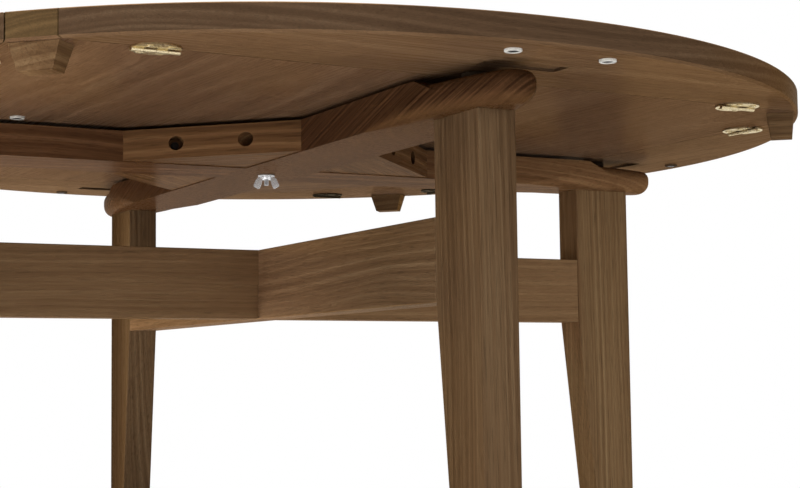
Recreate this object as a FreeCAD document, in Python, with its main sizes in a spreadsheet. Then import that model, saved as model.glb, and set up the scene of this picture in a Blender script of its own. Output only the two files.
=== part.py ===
# Round drop-leaf table with a turning top, in walnut.
#
# The top is a square panel with four hinged leaves that make it round.  It
# turns on a bolt through the crossing of two long beams.  The beams, four
# legs, two low stretchers and four corner braces make the frame.
#
# Millimetres.  +Z up, origin on the floor under the middle of the table.
# The cross beams lie along X and Y.  The top and its leaves stand turned by
# TopTurn about Z, because the top never stops exactly square on the frame.
import FreeCAD, Part
import os
import re
import Sketcher

doc = FreeCAD.newDocument("DropLeafTable")
V = FreeCAD.Vector

# ------------------------------------------------------------------ sizes
sheet = doc.addObject("Spreadsheet::Sheet", "Sizes")
SIZES = [
    ("TableHeight", 742, "floor to the top face"),
    ("TopThickness", 27, "panel and leaves"),
    ("TopRadius", 653.5, "rim of the round top"),
    ("RimChamfer", 2.5, "lower edge of the rim"),
    ("RimEase", 1.0, "upper edge of the rim"),
    ("SeamHalf", 480, "middle of the top to each leaf seam"),
    ("SeamGap", 1.2, "open seam between panel and leaf"),
    ("TopTurn", 2.4, "angle of the top on the frame, degrees"),
    ("TipRecessReach", 573, "outer edge of the shallow recess in a leaf"),
    ("TipRecessLength", 92, "recess along the seam"),
    ("TipRecessWidth", 26, "recess across"),
    ("TipRecessDepth", 3, "recess into the leaf"),
    ("FrameGap", 5, "beams to the underside of the top"),
    ("BeamWidth", 98, "cross beams lie flat"),
    ("BeamThickness", 37, "cross beams"),
    ("BeamReach", 598, "middle of the table to a beam tip"),
    ("TipStart", 432, "where a beam starts to narrow"),
    ("TipNose", 24, "plan radius at the very tip"),
    ("TipUnder", 17, "round-over under a tip"),
    ("TipOver", 11, "round-over above a tip"),
    ("StepStart", 468, "where the beam's top face starts to step down"),
    ("StepEnd", 480, "where the step ends"),
    ("StepDrop", 5, "depth of the step"),
    ("RoundStart", 364, "where the lower edges start to round over"),
    ("RoundSmall", 1.2, "round-over radius there"),
    ("Margin", 3, "how far a cutting shape runs past the wood"),
    ("JointPlay", 0.2, "glue line in laps and mortises"),
    ("BraceLeg", 208, "middle of the table to a brace's sharp corners"),
    ("BraceScrewX", 159.4, "where a screw enters a brace, out from one beam's middle"),
    ("BraceScrewLean", 17, "lean of that screw from square to the beam, degrees"),
    ("BraceInset", 1, "underside of a brace above the beams' underside"),
    ("BraceBore", 8.4, "radius of a brace counterbore"),
    ("BraceSeat", 25, "depth of a brace screw's head seat"),
    ("BraceScrewRadius", 2.5, "shank"),
    ("BraceHoleRadius", 2.9, "clearance hole in a brace"),
    ("BraceScrewLength", 52, "under the head"),
    ("BraceHeadRadius", 5, "pan head"),
    ("BraceHeadHeight", 3, "pan head"),
    ("LegInner", 462, "inner face of a leg"),
    ("LegOuter", 548, "outer face of a leg"),
    ("LegThick", 42.5, "across the beam"),
    ("LegEase", 1.2, "eased long edges"),
    ("FootWidth", 34, "leg at the floor"),
    ("FootGap", 4, "floor to the end grain of a leg"),
    ("TenonWidth", 56, "leg tenon"),
    ("TenonThick", 20, "leg tenon"),
    ("TenonLength", 20, "leg tenon"),
    ("StretcherTop", 575, "upper edge of the low stretchers"),
    ("StretcherBottom", 489, "lower edge of the low stretchers"),
    ("StretcherTenonLength", 24, "into the leg"),
    ("StretcherTenonThick", 13, "into the leg"),
    ("StretcherTenonInset", 14, "shoulder above and below the tenon"),
    ("GlideRadius", 12, "foot glide"),
    ("SupportRadius", 14, "felt disc on a beam tip"),
    ("SupportReach", 508, "middle of the table to that disc"),
    ("SupportGap", 0.4, "felt disc to the leaf above"),
    ("BlockReach", 648.5, "outer face of a corner block"),
    ("BlockTopInner", 618, "inner face at the panel"),
    ("BlockBaseInner", 622, "inner face at the bottom"),
    ("BlockLean", 2.5, "outer face leans in by this at the bottom"),
    ("BlockTopWidth", 51, "corner block at the panel"),
    ("BlockBaseWidth", 35, "corner block at the bottom"),
    ("BlockHeight", 26, "corner block"),
    ("PlateRadius", 55, "pivot plate"),
    ("PlateThick", 4.7, "pivot plate"),
    ("PlateScrewCircle", 40, "screws of the pivot plate"),
    ("BoltRadius", 3.0, "pivot bolt"),
    ("BoltHeadRadius", 8, "pivot bolt"),
    ("BoltHeadHeight", 3.5, "pivot bolt"),
    ("BoltBelow", 13.4, "bolt below the beams"),
    ("BoltPlay", 0.3, "bolt in the beams and washer, radial"),
    ("NutPlay", 0.05, "bolt in the wing nut and in the pivot plate, radial"),
    ("WasherRadius", 10.75, "washer"),
    ("WasherThick", 1.6, "washer"),
    ("HubTopRadius", 6.4, "wing nut at the washer"),
    ("HubBaseRadius", 5.4, "wing nut at its lower end"),
    ("HubHeight", 4.6, "wing nut"),
    ("WingThick", 3, "wing nut"),
    ("HingeRadius", 24, "round hinge"),
    ("HingeOffset", 351, "middle of a seam to a hinge"),
    ("HingePlate", 2.0, "hinge plate thickness"),
    ("KnuckleRadius", 2.4, "hinge barrel"),
    ("KnuckleDrop", 2.75, "underside of the top to the hinge axis"),
    ("KnuckleGap", 0.4, "between neighbouring knuckles"),
    ("KnuckleNotch", 6.4, "axis to the end of the notch beside the other half's knuckles"),
    ("PinRadius", 1.1, "hinge pin"),
    ("PinPlay", 0.05, "hinge pin in its knuckles, radial"),
    ("HingeScrewIn", 14, "hinge axis to its screws"),
    ("HingeScrewSide", 10, "middle of a hinge to its screws"),
    ("HingeScrewRadius", 1.9, "shank"),
    ("HingeScrewLength", 14, "in the wood"),
    ("HingeHoleRadius", 2.2, "hole in the plate"),
    ("HingeHeadRadius", 3.7, "low dome head"),
    ("HingeHeadHeight", 1.2, "low dome head"),
    ("PadRadius", 8.5, "round pad on a leaf"),
    ("PadThick", 2.6, "round pad on a leaf"),
    ("PadReach", 621, "middle of the table to the pads, outward"),
    ("PadSide", 55, "pads either side of the beam's line"),
    ("PadEase", 0.8, "rounded lower edge"),
    ("PadScrewHead", 3.2, "pan head in the pad"),
    ("PadScrewRadius", 1.6, "shank"),
    ("GlidePadReach", 344, "glide pads under the panel, outward"),
    ("GlidePadSide", 55, "glide pads, beside the beam"),
]
SIZE_NAMES = set()
for row, (alias, value, note) in enumerate(SIZES, start=1):
    sheet.set("A%d" % row, alias)
    sheet.set("B%d" % row, str(value))
    sheet.set("C%d" % row, note)
    sheet.setAlias("B%d" % row, alias)
    SIZE_NAMES.add(alias)
doc.recompute()

# Heights that several pieces share.
UNDER = "(TableHeight - TopThickness)"
FRAME_TOP = "(TableHeight - TopThickness - FrameGap)"
FRAME_BASE = "(TableHeight - TopThickness - FrameGap - BeamThickness)"
HINGE_AXIS = "(TableHeight - TopThickness - KnuckleDrop)"
FULL_TURN = 360
QUARTER = 90


def bound(formula):
    """The formula with every size written as a cell of the sheet."""
    return re.sub(r"[A-Z][A-Za-z]+", lambda word: "Sizes." + word.group(0), str(formula))


KNOWN = {}


def number(formula):
    """The value of a formula, worked out by the sheet."""
    text = str(formula)
    if text not in KNOWN:
        sheet.set("E1", "=" + text)
        sheet.recompute()
        KNOWN[text] = float(sheet.get("E1"))
        sheet.clear("E1")
    return KNOWN[text]


# ---------------------------------------------------------------- sketches
def new_body(name):
    """An empty body for one piece."""
    return doc.addObject("PartDesign::Body", name)


def origin_part(body, role):
    """A plane or an axis of the body's own origin."""
    for item in body.Origin.OriginFeatures:
        if item.Role == role:
            return item
    raise ValueError(role)


def new_sketch(body, name, role, shift=("0", "0", "0")):
    """A sketch on an origin plane, shifted in the plane's own axes."""
    sketch = body.newObject("Sketcher::SketchObject", name)
    sketch.AttachmentSupport = [(origin_part(body, role), "")]
    sketch.MapMode = "FlatFace"
    base = V(number(shift[0]), number(shift[1]), number(shift[2]))
    sketch.AttachmentOffset = FreeCAD.Placement(base, FreeCAD.Rotation())
    for axis, formula in zip("xyz", shift):
        if formula != "0":
            sketch.setExpression("AttachmentOffset.Base." + axis, bound(formula))
    return sketch


def fix_point(sketch, geo, pos, x, y):
    """Dimension one point from the sketch origin."""
    for kind, formula in (("DistanceX", x), ("DistanceY", y)):
        index = sketch.addConstraint(
            Sketcher.Constraint(kind, -1, 1, geo, pos, number(formula)))
        if re.search("[A-Z]", str(formula)):
            sketch.setExpression("Constraints[%d]" % index, bound(formula))


def add_polygon(sketch, corners):
    """A closed outline through the given corners."""
    points = [V(number(x), number(y), 0) for x, y in corners]
    first = sketch.GeometryCount
    count = len(points)
    for i in range(count):
        line = Part.LineSegment(points[i], points[(i + 1) % count])
        sketch.addGeometry(line, False)
    for i in range(count):
        sketch.addConstraint(Sketcher.Constraint(
            "Coincident", first + i, 2, first + (i + 1) % count, 1))
    for i, (x, y) in enumerate(corners):
        fix_point(sketch, first + i, 1, x, y)


def add_box(sketch, x0, y0, x1, y1):
    """A rectangle from one corner to the opposite one."""
    add_polygon(sketch, [(x0, y0), (x1, y0), (x1, y1), (x0, y1)])


def add_circle(sketch, x, y, radius):
    """A circle about a dimensioned centre."""
    centre = V(number(x), number(y), 0)
    geo = sketch.addGeometry(Part.Circle(centre, V(0, 0, 1), number(radius)), False)
    index = sketch.addConstraint(Sketcher.Constraint("Radius", geo, number(radius)))
    sketch.setExpression("Constraints[%d]" % index, bound(radius))
    fix_point(sketch, geo, 3, x, y)


def add_corner_scoop(sketch, x, y, radius, side_x, side_y):
    """The waste outside a quarter round about (x, y), for rounding an edge."""
    x_far = "(%s) + (%d) * ((%s) + Margin)" % (x, side_x, radius)
    y_far = "(%s) + (%d) * ((%s) + Margin)" % (y, side_y, radius)
    cx, cy, r = number(x), number(y), number(radius)
    on_x = V(cx + side_x * r, cy, 0)
    on_y = V(cx, cy + side_y * r, 0)
    far = V(number(x_far), number(y_far), 0)
    first = sketch.GeometryCount
    path = [on_x, V(far.x, cy, 0), far, V(cx, far.y, 0), on_y]
    for start, end in zip(path, path[1:]):
        sketch.addGeometry(Part.LineSegment(start, end), False)
    middle = V(cx + side_x * r * 0.70710678, cy + side_y * r * 0.70710678, 0)
    arc = first + 4
    sketch.addGeometry(Part.Arc(on_y, middle, on_x), False)
    for i in range(3):
        sketch.addConstraint(Sketcher.Constraint("Coincident", first + i, 2, first + i + 1, 1))
    # A three-point arc is kept counter-clockwise, so its ends may swap.
    starts_on_x = sketch.getPoint(arc, 1).distanceToPoint(on_x) < 1e-6
    end_x, end_y = (1, 2) if starts_on_x else (2, 1)
    sketch.addConstraint(Sketcher.Constraint("Coincident", arc, end_x, first, 1))
    sketch.addConstraint(Sketcher.Constraint("Coincident", arc, end_y, first + 3, 2))
    sketch.addConstraint(Sketcher.Constraint("Horizontal", first))
    sketch.addConstraint(Sketcher.Constraint("Vertical", first + 1))
    sketch.addConstraint(Sketcher.Constraint("Horizontal", first + 2))
    sketch.addConstraint(Sketcher.Constraint("Vertical", first + 3))
    sketch.addConstraint(Sketcher.Constraint("Horizontal", arc, 3, arc, end_x))
    sketch.addConstraint(Sketcher.Constraint("Vertical", arc, 3, arc, end_y))
    index = sketch.addConstraint(Sketcher.Constraint("Radius", arc, r))
    sketch.setExpression("Constraints[%d]" % index, bound(radius))
    fix_point(sketch, arc, 3, x, y)
    fix_point(sketch, first + 1, 2, x_far, y_far)


# ---------------------------------------------------------------- features
def finish(body, feature, grows):
    """Recompute, and make sure the feature added or took away material."""
    before = getattr(body, "LastVolume", None)
    body.Tip = feature
    doc.recompute()
    volume = feature.Shape.Volume
    if before is not None:
        change = volume - before
        if (change <= 1e-6) if grows else (change >= -1e-6):
            raise ValueError("%s.%s changed nothing" % (body.Name, feature.Name))
    else:
        body.addProperty("App::PropertyFloat", "LastVolume")
    body.LastVolume = volume
    return feature


def extrude(body, name, kind, sketch, length, symmetric=False, reverse=False):
    """A pad or a pocket of the sketch."""
    feature = body.newObject("PartDesign::" + kind, name)
    feature.Profile = sketch
    feature.Length = number(length)
    feature.setExpression("Length", bound(length))
    feature.SideType = "Symmetric" if symmetric else "One side"
    feature.Reversed = reverse
    sketch.Visibility = False
    return finish(body, feature, kind == "Pad")


def turn(body, name, kind, sketch, axis="V_Axis"):
    """A revolution or a groove about an axis of its own sketch."""
    feature = body.newObject("PartDesign::" + kind, name)
    feature.Profile = sketch
    feature.ReferenceAxis = (sketch, [axis])
    feature.Angle = FULL_TURN
    sketch.Visibility = False
    return finish(body, feature, kind == "Revolution")


def repeat(body, name, originals, steps, grows=True):
    """Mirrors and patterns of the originals, one after another."""
    moves = []
    for i, step in enumerate(steps):
        label = "%sStep%d" % (name, i)
        if step[0] == "mirror":
            move = body.newObject("PartDesign::Mirrored", label)
            move.MirrorPlane = (origin_part(body, step[1]), [""])
        elif step[0] == "row":
            move = body.newObject("PartDesign::LinearPattern", label)
            move.Direction = (origin_part(body, step[1]), [""])
            move.Length = number(step[2])
            move.setExpression("Length", bound(step[2]))
            move.Occurrences = step[3]
        else:
            move = body.newObject("PartDesign::PolarPattern", label)
            move.Axis = (origin_part(body, "Z_Axis"), [""])
            move.Angle = FULL_TURN
            move.Occurrences = step[1]
        moves.append(move)
    feature = body.newObject("PartDesign::MultiTransform", name)
    feature.Originals = originals
    feature.Transformations = moves
    return finish(body, feature, grows)


def fillet(body, name, test, radius):
    """Round the edges of the tip that pass the test."""
    base = body.Tip
    names = ["Edge%d" % (i + 1) for i, edge in enumerate(base.Shape.Edges) if test(edge)]
    feature = body.newObject("PartDesign::Fillet", name)
    feature.Base = (base, names)
    feature.Radius = number(radius)
    feature.setExpression("Radius", bound(radius))
    return finish(body, feature, False)


# ------------------------------------------------------------------- nodes
NODES = []


def keep(piece, label, angle="0"):
    """Name a finished piece and turn it about the table's centre line."""
    piece.Label = label
    rotation = FreeCAD.Rotation(V(0, 0, 1), number(angle))
    piece.Placement = FreeCAD.Placement(V(0, 0, 0), rotation)
    if re.search("[A-Z]", angle):
        piece.setExpression("Placement.Rotation.Angle", bound(angle))
    NODES.append(piece)


def keep_four(source, labels, angle):
    """Four placed copies of a piece, a quarter turn apart."""
    for quarter, label in enumerate(labels):
        copy = doc.addObject("Part::Compound", "Placed_" + label)
        copy.Links = source if isinstance(source, list) else [source]
        keep(copy, label, "%s + %d" % (angle, QUARTER * quarter))


def mirrored(source):
    """The piece seen in the XZ plane."""
    mirror = doc.addObject("Part::Mirroring", source.Name + "Mirror")
    mirror.Source = source
    mirror.Normal = V(0, 1, 0)
    mirror.Base = V(0, 0, 0)
    doc.recompute()
    return mirror


# ------------------------------------------------------------- cross beams
TIP_LENGTH = "(BeamReach - TipStart)"
TIP_SIDE = ("((%s ^ 2 + BeamWidth ^ 2 / 4 - 2 * %s * TipNose) / (BeamWidth - 2 * TipNose))"
            % (TIP_LENGTH, TIP_LENGTH))


def add_tip_plan(sketch, sign):
    """A tip seen from above: two long side arcs and a small nose arc."""
    half = "BeamWidth / 2"
    lean = "(TipNose / (%s - TipNose))" % TIP_SIDE
    join_x = sign + "(BeamReach - TipNose + %s * (%s - TipNose))" % (lean, TIP_LENGTH)
    join_y = "%s * (%s - %s)" % (lean, TIP_SIDE, half)
    start = V(number(sign + "TipStart"), number(half), 0)
    join = V(number(join_x), number(join_y), 0)
    tip = V(number(sign + "BeamReach"), 0, 0)
    centre = V(start.x, start.y - number(TIP_SIDE), 0)
    middle = centre + ((start + join) / 2 - centre).normalize() * number(TIP_SIDE)
    flip = lambda point: V(point.x, -point.y, 0)
    first = sketch.GeometryCount
    sketch.addGeometry(Part.LineSegment(flip(start), start), False)
    stretches = [(start, middle, join, TIP_SIDE), (join, tip, flip(join), "TipNose"),
                 (flip(join), flip(middle), flip(start), TIP_SIDE)]
    ends = [(first, 2)]
    for begin, through, end, radius in stretches:
        arc = sketch.addGeometry(Part.Arc(begin, through, end), False)
        # A three-point arc is kept counter-clockwise, so its ends may swap.
        forward = sketch.getPoint(arc, 1).distanceToPoint(begin) < 1e-6
        near, far = (1, 2) if forward else (2, 1)
        geo, pos = ends[-1]
        sketch.addConstraint(Sketcher.Constraint("Coincident", arc, near, geo, pos))
        ends.append((arc, far))
        index = sketch.addConstraint(Sketcher.Constraint("Radius", arc, number(radius)))
        sketch.setExpression("Constraints[%d]" % index, bound(radius))
    sketch.addConstraint(Sketcher.Constraint("Coincident", ends[-1][0], ends[-1][1], first, 1))
    fix_point(sketch, first, 1, sign + "TipStart", "-" + half)
    fix_point(sketch, first, 2, sign + "TipStart", half)
    fix_point(sketch, ends[1][0], ends[1][1], join_x, join_y)
    fix_point(sketch, ends[2][0], ends[2][1], join_x, "-(%s)" % join_y)


def is_arc_at(edge, height):
    """True for a round edge that lies flat at the given height."""
    flat = abs(edge.BoundBox.ZMin - height) < 1e-6 and abs(edge.BoundBox.ZMax - height) < 1e-6
    return flat and edge.Curve.TypeId == "Part::GeomCircle"


def cross_beam(name, lap_below):
    """A flat beam along X with sculpted tips and half of the centre lap."""
    body = new_body(name)
    floor_of_step = FRAME_TOP + " - StepDrop"
    tips = new_sketch(body, name + "TipPlan", "XY_Plane", ("0", "0", FRAME_BASE))
    for sign in ("", "-"):
        add_tip_plan(tips, sign)
    extrude(body, name + "Tips", "Pad", tips, "BeamThickness - StepDrop")
    fillet(body, name + "TipEdges", lambda edge: is_arc_at(edge, number(FRAME_BASE)),
           "TipUnder")
    uppers = new_sketch(body, name + "UpperPlan", "XY_Plane", ("0", "0", floor_of_step))
    for sign in ("", "-"):
        add_tip_plan(uppers, sign)
    extrude(body, name + "Uppers", "Pad", uppers, "StepDrop")
    plan = new_sketch(body, name + "Plan", "XY_Plane", ("0", "0", FRAME_BASE))
    add_box(plan, "-TipStart", "-BeamWidth / 2", "TipStart", "BeamWidth / 2")
    extrude(body, name + "Board", "Pad", plan, "BeamThickness")

    # The top face steps down outside the seam, so the leaf clears it.
    step = new_sketch(body, name + "StepOutline", "XZ_Plane")
    for sign in ("", "-"):
        add_polygon(step, [
            (sign + "StepStart", FRAME_TOP),
            (sign + "StepEnd", floor_of_step),
            (sign + "(BeamReach + Margin)", floor_of_step),
            (sign + "(BeamReach + Margin)", FRAME_TOP + " + Margin"),
            (sign + "StepStart", FRAME_TOP + " + Margin"),
        ])
    extrude(body, name + "Step", "Pocket", step, "BeamWidth + 2 * Margin", True)

    # The stepped part is rounded above as well, out to the tip.
    fillet(body, name + "UpperEdges",
           lambda edge: is_arc_at(edge, number(floor_of_step)), "TipOver")

    # The lower edges round over more and more up to each tip.
    start = new_sketch(body, name + "RoundStart", "YZ_Plane", ("0", "0", "RoundStart"))
    add_corner_scoop(start, "BeamWidth / 2 - RoundSmall", FRAME_BASE + " + RoundSmall",
                     "RoundSmall", 1, -1)
    end = new_sketch(body, name + "RoundEnd", "YZ_Plane", ("0", "0", "TipStart"))
    add_corner_scoop(end, "BeamWidth / 2 - TipUnder", FRAME_BASE + " + TipUnder",
                     "TipUnder", 1, -1)
    loft = body.newObject("PartDesign::SubtractiveLoft", name + "RoundOver")
    loft.Profile = start
    loft.Sections = [end]
    loft.Ruled = True
    finish(body, loft, False)
    repeat(body, name + "RoundOvers", [loft],
           [("mirror", "XZ_Plane"), ("mirror", "YZ_Plane")], False)

    # Half lap at the crossing, and the hole for the pivot bolt.
    lap_z = FRAME_BASE if lap_below else FRAME_TOP
    lap = new_sketch(body, name + "LapOutline", "XY_Plane", ("0", "0", lap_z))
    add_box(lap, "-(BeamWidth / 2 + JointPlay)", "-(BeamWidth / 2 + Margin)",
            "BeamWidth / 2 + JointPlay", "BeamWidth / 2 + Margin")
    extrude(body, name + "Lap", "Pocket", lap, "BeamThickness / 2 + JointPlay / 2",
            False, lap_below)
    hole = new_sketch(body, name + "BoltCircle", "XY_Plane", ("0", "0", FRAME_BASE))
    add_circle(hole, "0", "0", "BoltRadius + BoltPlay")
    extrude(body, name + "BoltHole", "Pocket", hole, "2 * BeamThickness + 2 * Margin", True)

    # Mortises for the leg tenons.
    mortise = new_sketch(body, name + "MortiseOutline", "XY_Plane", ("0", "0", FRAME_BASE))
    half_width = "(TenonWidth / 2 + JointPlay)"
    half_thick = "(TenonThick / 2 + JointPlay)"
    for sign in ("", "-"):
        add_box(mortise, sign + "(LegInner + LegOuter) / 2 - " + half_width, "-" + half_thick,
                sign + "(LegInner + LegOuter) / 2 + " + half_width, half_thick)
    extrude(body, name + "Mortise", "Pocket", mortise, "TenonLength + JointPlay",
            False, True)
    return body


keep(cross_beam("BeamUpper", True), "cross_beam_upper")
keep(cross_beam("BeamLower", False), "cross_beam_lower", "90")


# ------------------------------------------------------------------ braces
brace = new_body("Brace")
outline = new_sketch(brace, "BraceOutline", "XY_Plane", ("0", "0", FRAME_BASE + " + BraceInset"))
add_polygon(outline, [("BeamWidth / 2", "BeamWidth / 2"), ("BraceLeg", "BeamWidth / 2"),
                      ("BeamWidth / 2", "BraceLeg")])
extrude(brace, "BraceBlock", "Pad", outline, "BeamThickness - BraceInset")
BRACE_Z = "(TableHeight - TopThickness - FrameGap - BeamThickness / 2)"


BRACE_SCREW_Y = "(BraceLeg + BeamWidth / 2 - BraceScrewX)"


def brace_sketch(body, name, along_y):
    """A sketch where a screw enters the brace's long face, H along the screw."""
    place = ("BraceScrewX", BRACE_SCREW_Y) if along_y else (BRACE_SCREW_Y, "BraceScrewX")
    angle = "(90 - BraceScrewLean)" if along_y else "BraceScrewLean"
    sketch = new_sketch(body, name + "Profile", "XY_Plane", place + (BRACE_Z,))
    base = sketch.AttachmentOffset.Base
    sketch.AttachmentOffset = FreeCAD.Placement(
        base, FreeCAD.Rotation(V(0, 0, 1), number(angle)))
    sketch.setExpression("AttachmentOffset.Rotation.Angle", bound(angle))
    return sketch


def brace_hole(name, along_y):
    """A counterbored screw hole through the brace, nearly square to a beam."""
    sketch = brace_sketch(brace, name, along_y)
    deep = "-(BraceSeat + BraceScrewLength)"
    add_polygon(sketch, [(deep, "0"), (deep, "BraceHoleRadius"),
                         ("-BraceSeat", "BraceHoleRadius"), ("-BraceSeat", "BraceBore"),
                         ("BraceBore", "BraceBore"), ("BraceBore", "0")])
    turn(brace, name, "Groove", sketch, "H_Axis")


brace_hole("HoleToBeamX", True)
brace_hole("HoleToBeamY", False)
keep_four(brace, ["brace_block_%s" % side for side in ("ne", "nw", "sw", "se")], "0")

screws = new_body("BraceScrews")


def brace_screw(name, along_y):
    """A pan-head screw in one of those holes."""
    sketch = brace_sketch(screws, name, along_y)
    add_polygon(sketch, [("-(BraceSeat + BraceScrewLength)", "0"),
                         ("-(BraceSeat + BraceScrewLength - 2 * BraceScrewRadius)",
                          "BraceScrewRadius"),
                         ("-BraceSeat", "BraceScrewRadius"), ("-BraceSeat", "BraceHeadRadius"),
                         ("-(BraceSeat - BraceHeadHeight)", "BraceHeadRadius * 0.8"),
                         ("-(BraceSeat - BraceHeadHeight)", "0")])
    return turn(screws, name, "Revolution", sketch, "H_Axis")


pair = [brace_screw("ScrewToBeamX", True), brace_screw("ScrewToBeamY", False)]
repeat(screws, "BraceScrewSet", pair, [("polar", 4)])
keep(screws, "brace_screws")

# -------------------------------------------------------------------- legs
leg = new_body("Leg")
side = new_sketch(leg, "LegSide", "XZ_Plane")
add_polygon(side, [("LegInner", FRAME_BASE), ("LegInner", "StretcherBottom"),
                   ("LegOuter - FootWidth", "FootGap"), ("LegOuter", "FootGap"),
                   ("LegOuter", FRAME_BASE)])
extrude(leg, "LegBoard", "Pad", side, "LegThick", True)
fillet(leg, "LegEdges",
       lambda edge: edge.BoundBox.ZLength > 60 and edge.BoundBox.YLength < 1e-6, "LegEase")
tenon = new_sketch(leg, "LegTenonOutline", "XY_Plane", ("0", "0", FRAME_BASE))
add_box(tenon, "(LegInner + LegOuter) / 2 - TenonWidth / 2", "-TenonThick / 2",
        "(LegInner + LegOuter) / 2 + TenonWidth / 2", "TenonThick / 2")
extrude(leg, "LegTenon", "Pad", tenon, "TenonLength")
socket = new_sketch(leg, "StretcherSocket", "YZ_Plane", ("0", "0", "LegInner - Margin"))
add_box(socket, "-(StretcherTenonThick / 2 + JointPlay)",
        "StretcherBottom + StretcherTenonInset - JointPlay",
        "StretcherTenonThick / 2 + JointPlay",
        "StretcherTop - StretcherTenonInset + JointPlay")
extrude(leg, "LegSocket", "Pocket", socket, "StretcherTenonLength + Margin + JointPlay",
        False, True)
keep_four(leg, ["leg_%s" % side_name for side_name in ("east", "north", "west", "south")], "0")


# -------------------------------------------------------------- stretchers
def stretcher(name, lap_below):
    """A board on edge along X, tenoned into two legs and lapped in the middle."""
    body = new_body(name)
    face = new_sketch(body, name + "Face", "XZ_Plane")
    add_box(face, "-LegInner", "StretcherBottom", "LegInner", "StretcherTop")
    extrude(body, name + "Board", "Pad", face, "LegThick", True)
    ends = new_sketch(body, name + "TenonFace", "XZ_Plane")
    add_box(ends, "-(LegInner + StretcherTenonLength)", "StretcherBottom + StretcherTenonInset",
            "LegInner + StretcherTenonLength", "StretcherTop - StretcherTenonInset")
    extrude(body, name + "Tenons", "Pad", ends, "StretcherTenonThick", True)
    level = "StretcherBottom" if lap_below else "StretcherTop"
    lap = new_sketch(body, name + "LapOutline", "XY_Plane", ("0", "0", level))
    add_box(lap, "-(LegThick / 2 + JointPlay)", "-(LegThick / 2 + Margin)",
            "LegThick / 2 + JointPlay", "LegThick / 2 + Margin")
    extrude(body, name + "Lap", "Pocket", lap,
            "(StretcherTop - StretcherBottom) / 2 + JointPlay / 2", False, lap_below)
    return body


keep(stretcher("StretcherUpper", True), "stretcher_upper")
keep(stretcher("StretcherLower", False), "stretcher_lower", "90")


# ----------------------------------------------------------- small rounds
def round_piece(body, name, profile, x, y, z):
    """A turned piece about an upright axis through (x, y), from height z."""
    shift = (x, z, "-(%s)" % y)
    sketch = new_sketch(body, name + "Profile", "XZ_Plane", shift)
    add_polygon(sketch, profile)
    return turn(body, name, "Revolution", sketch)


glides = new_body("FootGlides")
glide = round_piece(glides, "FootGlide",
                    [("0", "0"), ("GlideRadius - PadEase", "0"), ("GlideRadius", "PadEase"),
                     ("GlideRadius", "FootGap"), ("0", "FootGap")],
                    "LegOuter - FootWidth / 2", "0", "0")
repeat(glides, "FootGlideSet", [glide], [("polar", 4)])
keep(glides, "foot_glides")

supports = new_body("SupportPads")
support = round_piece(supports, "SupportPad",
                      [("0", "0"), ("SupportRadius", "0"),
                       ("SupportRadius", "FrameGap + StepDrop - SupportGap - PadEase"),
                       ("SupportRadius - PadEase", "FrameGap + StepDrop - SupportGap"),
                       ("0", "FrameGap + StepDrop - SupportGap")],
                      "SupportReach", "0", FRAME_TOP + " - StepDrop")
repeat(supports, "SupportPadSet", [support], [("polar", 4)])
keep(supports, "support_pads")

# ------------------------------------------------------------------- pivot
washer = new_body("Washer")
round_piece(washer, "WasherDisc",
            [("BoltRadius + BoltPlay", "-WasherThick"), ("WasherRadius", "-WasherThick"),
             ("WasherRadius", "0"), ("BoltRadius + BoltPlay", "0")],
            "0", "0", FRAME_BASE)
keep(washer, "pivot_washer")

nut = new_body("WingNut")
NUT_TOP = FRAME_BASE + " - WasherThick"
round_piece(nut, "Hub",
            [("0", "-HubHeight"), ("HubBaseRadius", "-HubHeight"),
             ("HubTopRadius", "-1.6"), ("HubTopRadius", "0"), ("0", "0")],
            "0", "0", NUT_TOP)
wing = new_sketch(nut, "WingOutline", "XZ_Plane", ("0", NUT_TOP, "0"))
WING = [(3.6, -0.5), (9.6, -0.5), (12.9, -3.9), (16.1, -10.8), (16.0, -12.8),
        (10.6, -15.9), (8.5, -15.2), (6.2, -9.4), (5.2, -5.0), (3.6, -4.2)]
for sign in (1, -1):
    add_polygon(wing, [(str(sign * x), str(z)) for x, z in WING])
extrude(nut, "Wings", "Pad", wing, "WingThick", True)
thread = new_sketch(nut, "NutCircle", "XY_Plane", ("0", "0", NUT_TOP))
add_circle(thread, "0", "0", "BoltRadius + NutPlay")
extrude(nut, "NutBore", "Pocket", thread, "2 * HubHeight + 2 * Margin", True)
keep(nut, "wing_nut", "-27")

bolt = new_body("Bolt")
round_piece(bolt, "BoltShape",
            [("0", "-(FrameGap + BeamThickness + BoltBelow)"),
             ("BoltRadius - PadEase", "-(FrameGap + BeamThickness + BoltBelow)"),
             ("BoltRadius", "-(FrameGap + BeamThickness + BoltBelow - PadEase)"),
             ("BoltRadius", "0"), ("BoltHeadRadius", "0"),
             ("BoltHeadRadius", "BoltHeadHeight"), ("0", "BoltHeadHeight")],
            "0", "0", UNDER)
keep(bolt, "pivot_bolt", "TopTurn")

plate = new_body("PivotPlate")
PLATE_BORE = "BoltRadius + NutPlay"
round_piece(plate, "PlateDisc",
            [(PLATE_BORE, "-PlateThick"), ("PlateRadius - PadEase", "-PlateThick"),
             ("PlateRadius", "-(PlateThick - PadEase)"), ("PlateRadius", "0"),
             (PLATE_BORE, "0")],
            "0", "0", UNDER)
sinks = new_sketch(plate, "ScrewSinkProfile", "XZ_Plane", ("PlateScrewCircle", UNDER, "0"))
add_polygon(sinks, [("0", "-(PlateThick + Margin)"), ("4.3", "-(PlateThick + Margin)"),
                    ("4.3", "-PlateThick"), ("2.1", "-(PlateThick - 2.2)"),
                    ("2.1", "Margin"), ("0", "Margin")])
sink = turn(plate, "ScrewSink", "Groove", sinks)
repeat(plate, "ScrewSinks", [sink], [("polar", 4)], False)
keep(plate, "pivot_plate", "TopTurn")

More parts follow.
